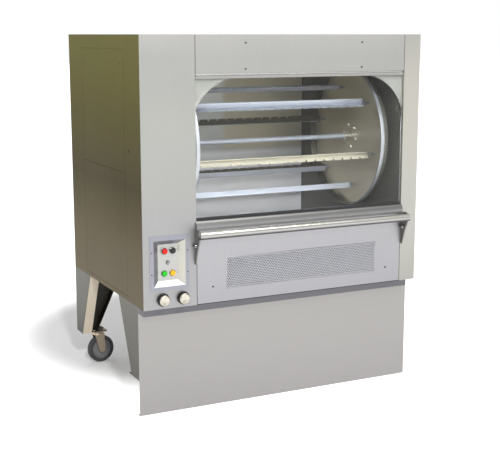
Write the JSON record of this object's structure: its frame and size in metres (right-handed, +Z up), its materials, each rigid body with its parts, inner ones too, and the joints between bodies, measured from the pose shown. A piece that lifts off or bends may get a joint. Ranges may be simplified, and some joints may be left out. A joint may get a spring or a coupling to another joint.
{
  "type": "rotisserie oven",
  "caption": "Free-standing commercial rotisserie oven with a lift-up glass door, a rotor of notched spits, a side control panel and a caster stand.",
  "frame": {"origin": "on the floor under the middle of the oven's outer box", "axes": "+X to the right as seen from the front, +Y from front to back, +Z up"},
  "size_m": [1.503, 1.149, 1.8],
  "materials": {
    "satin_steel": "satin brushed",
    "side_steel": "satin brushed",
    "liner_steel": "satin, heat tinted",
    "polished_steel": "polished",
    "dark_paint": "satin",
    "leg_steel": "satin",
    "zinc_steel": "passivated zinc",
    "wheel_grey": "satin",
    "tyre_rubber": "matt",
    "glass": "clear",
    "seal": "matt",
    "disc_steel": "satin, heat tinted",
    "red_plastic": "gloss",
    "black_plastic": "gloss",
    "green_lens": "gloss",
    "amber_lens": "gloss",
    "motor_paint": "satin",
    "cast_iron": "bare",
    "brass": "bare",
    "grey_plastic": "matt"
  },
  "bodies": {
    "cabinet": {"side_panel_left": "side_steel", "side_panel_right": "side_steel", "side_covers_left": "side_steel", "side_covers_right": "side_steel", "top_panel": "satin_steel", "back_panel": "satin_steel", "floor_frame": "satin_steel", "control_stile": "satin_steel", "right_stile": "satin_steel", "header_panel": "satin_steel", "mouth_frame": "satin_steel", "cavity_liner": "liner_steel", "burner_access_panel": "satin_steel", "vent_grille": "satin_steel", "front_rail": "dark_paint", "apron": "satin_steel", "leg_front_left": "leg_steel", "leg_front_right": "leg_steel", "leg_rear_left": "leg_steel", "leg_rear_right": "leg_steel", "caster_plates": "zinc_steel", "door_hinge": "satin_steel", "control_bezel": "satin_steel", "green_lamp": "green_lens", "amber_lamp": "amber_lens", "panel_screws": "polished_steel", "shaft_bearings": "cast_iron", "drive_motor": "motor_paint", "burner_tubes": "liner_steel", "drip_tray": "liner_steel", "gas_inlet": "brass", "cord_gland": "grey_plastic"},
    "door": {"door_top_rail": "satin_steel", "door_glass": "glass", "door_gasket": "seal", "door_bottom_rail": "satin_steel", "handle_tube": "polished_steel", "handle_brackets": "satin_steel", "handle_bolts": "polished_steel"},
    "rotor": {"rotor_disc_left": "disc_steel", "rotor_disc_right": "disc_steel", "rotor_shaft": "polished_steel", "rotor_spits": "polished_steel"},
    "red_button": {"red_button": "red_plastic"},
    "black_button": {"black_button": "black_plastic"},
    "selector": {"selector_switch": "polished_steel"},
    "left_knob": {"knob_left": "black_plastic"},
    "right_knob": {"knob_right": "black_plastic"},
    "caster_front_left": {"caster_fork_front_left": "zinc_steel"},
    "wheel_front_left": {"caster_wheel_front_left": "wheel_grey", "caster_tyre_front_left": "tyre_rubber"},
    "caster_front_right": {"caster_fork_front_right": "zinc_steel"},
    "wheel_front_right": {"caster_wheel_front_right": "wheel_grey", "caster_tyre_front_right": "tyre_rubber"},
    "caster_rear_left": {"caster_fork_rear_left": "zinc_steel"},
    "wheel_rear_left": {"caster_wheel_rear_left": "wheel_grey", "caster_tyre_rear_left": "tyre_rubber"},
    "caster_rear_right": {"caster_fork_rear_right": "zinc_steel"},
    "wheel_rear_right": {"caster_wheel_rear_right": "wheel_grey", "caster_tyre_rear_right": "tyre_rubber"}
  },
  "joints": [
    {"name": "door_lift", "type": "hinge", "parent": "cabinet", "child": "door", "pos_m": [0.087, -0.4915, 1.618], "axis": [-1, 0, 0], "range_deg": [0, 95]},
    {"name": "rotor_turn", "type": "hinge", "parent": "cabinet", "child": "rotor", "pos_m": [0, -0.0355, 1.258], "axis": [1, 0, 0], "continuous": true},
    {"name": "red_button_press", "type": "slide", "parent": "cabinet", "child": "red_button", "axis": [0, 1, 0], "range_m": [0, 0.005], "stiffness_N_per_m": 400},
    {"name": "black_button_press", "type": "slide", "parent": "cabinet", "child": "black_button", "axis": [0, 1, 0], "range_m": [0, 0.005], "stiffness_N_per_m": 400},
    {"name": "selector_turn", "type": "hinge", "parent": "cabinet", "child": "selector", "pos_m": [-0.618, -0.4955, 0.756], "axis": [0, -1, 0], "range_deg": [-45, 45]},
    {"name": "left_knob_turn", "type": "hinge", "parent": "cabinet", "child": "left_knob", "pos_m": [-0.654, -0.4955, 0.587], "axis": [0, 1, 0], "range_deg": [0, 270]},
    {"name": "right_knob_turn", "type": "hinge", "parent": "cabinet", "child": "right_knob", "pos_m": [-0.554, -0.4955, 0.587], "axis": [0, 1, 0], "range_deg": [0, 270]},
    {"name": "swivel_front_left", "type": "hinge", "parent": "cabinet", "child": "caster_front_left", "pos_m": [-0.652, -0.3195, 0.16], "axis": [0, 0, 1], "continuous": true},
    {"name": "roll_front_left", "type": "hinge", "parent": "caster_front_left", "child": "wheel_front_left", "pos_m": [-0.65312, -0.30354, 0.075], "axis": [0.9976, 0.0698, 0], "continuous": true},
    {"name": "swivel_front_right", "type": "hinge", "parent": "cabinet", "child": "caster_front_right", "pos_m": [0.652, -0.3195, 0.16], "axis": [0, 0, 1], "continuous": true},
    {"name": "roll_front_right", "type": "hinge", "parent": "caster_front_right", "child": "wheel_front_right", "pos_m": [0.65367, -0.30359, 0.075], "axis": [0.9945, -0.1045, 0], "continuous": true},
    {"name": "swivel_rear_left", "type": "hinge", "parent": "cabinet", "child": "caster_rear_left", "pos_m": [-0.652, 0.5165, 0.16], "axis": [0, 0, 1], "continuous": true},
    {"name": "roll_rear_left", "type": "hinge", "parent": "caster_rear_left", "child": "wheel_rear_left", "pos_m": [-0.63614, 0.51862, 0.075], "axis": [0.1323, -0.9912, 0], "continuous": true},
    {"name": "swivel_rear_right", "type": "hinge", "parent": "cabinet", "child": "caster_rear_right", "pos_m": [0.652, 0.5165, 0.16], "axis": [0, 0, 1], "continuous": true},
    {"name": "roll_rear_right", "type": "hinge", "parent": "caster_rear_right", "child": "wheel_rear_right", "pos_m": [0.63616, 0.51873, 0.075], "axis": [0.1392, 0.9903, 0], "continuous": true}
  ]
}
